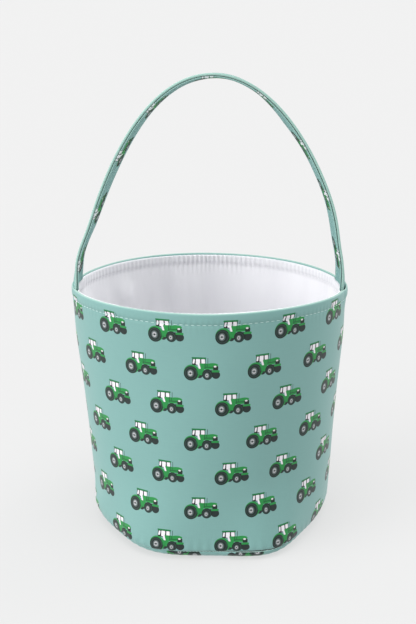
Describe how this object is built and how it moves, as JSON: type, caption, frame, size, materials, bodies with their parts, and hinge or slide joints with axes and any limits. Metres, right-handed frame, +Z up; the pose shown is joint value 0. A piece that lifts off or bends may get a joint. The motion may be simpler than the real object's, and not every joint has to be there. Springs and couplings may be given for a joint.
{
  "type": "fabric bucket bag",
  "caption": "Soft open-topped fabric bucket with a white lining and a single strap handle over the mouth, for picking and carrying fruit or eggs.",
  "frame": {"origin": "on the floor under the middle of the base", "axes": "+Z up, -Y the front, +X to the right; the handle rises from the mouth's corners on X"},
  "size_m": [0.258, 0.226, 0.4263],
  "materials": {
    "print_fabric": "matt plain weave with a small printed repeat",
    "strap_fabric": "matt plain weave with a small printed repeat",
    "lining": "smooth plain lining with a soft sheen",
    "interlining": "matt felt",
    "thread": "twisted polyester thread",
    "lining_thread": "twisted polyester thread"
  },
  "bodies": {
    "bag": {"shell_front_panel": "print_fabric", "shell_back_panel": "print_fabric", "shell_base_panel": "print_fabric", "wall_interlining_front": "interlining", "wall_interlining_back": "interlining", "base_stiffener": "interlining", "lining_front_panel": "lining", "lining_back_panel": "lining", "lining_base_panel": "lining", "side_seam_thread_left": "thread", "side_seam_thread_right": "thread", "base_seam_thread": "thread", "lining_seam_thread": "lining_thread", "rim_topstitch": "thread", "strap_tab_left": "strap_fabric", "strap_tab_right": "strap_fabric", "tab_stitch_left": "thread", "tab_stitch_right": "thread"},
    "handle": {"strap_outer_ply": "strap_fabric", "strap_core": "interlining", "strap_inner_ply": "strap_fabric", "strap_stitch_front": "thread", "strap_stitch_back": "thread"}
  },
  "joints": [
    {"name": "handle_swing", "type": "hinge", "parent": "bag", "child": "handle", "pos_m": [0, 0, 0.2503], "axis": [1, 0, 0], "range_deg": [-90, 90]}
  ]
}
